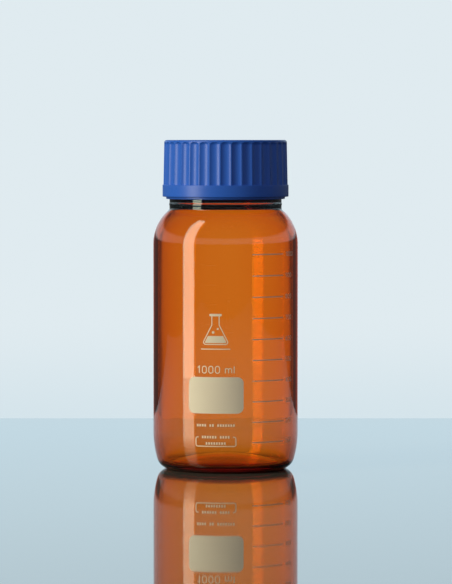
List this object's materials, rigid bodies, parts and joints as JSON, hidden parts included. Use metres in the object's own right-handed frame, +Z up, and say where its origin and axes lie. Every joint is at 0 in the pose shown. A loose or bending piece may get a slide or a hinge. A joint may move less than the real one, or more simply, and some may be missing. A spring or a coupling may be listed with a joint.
{
  "type": "reagent bottle",
  "caption": "Wide-mouth amber laboratory bottle with a quick-opening fluted screw cap, pouring ring and printed volume scale.",
  "frame": {"origin": "centre of the foot, on the surface that the bottle stands on", "axes": "+Z up along the bottle's axis; the printed side faces -Y; +X to the right of the print"},
  "size_m": [0.101, 0.1011, 0.229],
  "materials": {
    "amber_glass": "clear amber, fire polished",
    "cap_plastic": "satin moulded polypropylene",
    "ring_plastic": "satin moulded polypropylene",
    "seal_silicone": "smooth translucent silicone",
    "facing_ptfe": "skived film",
    "print_enamel": "fired cream enamel, dull"
  },
  "bodies": {
    "bottle": {"glass_bottle": "amber_glass", "pouring_ring": "ring_plastic", "label_field": "print_enamel", "capacity_mark": "print_enamel", "emblem_print": "print_enamel", "small_print": "print_enamel", "batch_box": "print_enamel", "graduation_marks": "print_enamel", "scale_numerals": "print_enamel"},
    "seal": {"silicone_seal": "seal_silicone", "ptfe_facing": "facing_ptfe"},
    "cap": {"screw_cap": "cap_plastic"}
  },
  "joints": [
    {"name": "cap_lift", "type": "slide", "parent": "bottle", "child": "seal", "axis": [0, 0, 1], "range_m": [0, 0.045]},
    {"name": "cap_turn", "type": "hinge", "parent": "seal", "child": "cap", "pos_m": [0, 0, 0.2], "axis": [0, 0, 1], "range_deg": [0, 1080]}
  ],
  "couplings": [
    {"joint": "cap_lift", "follows": "cap_turn", "m_per_rad": 0.0023873}
  ]
}
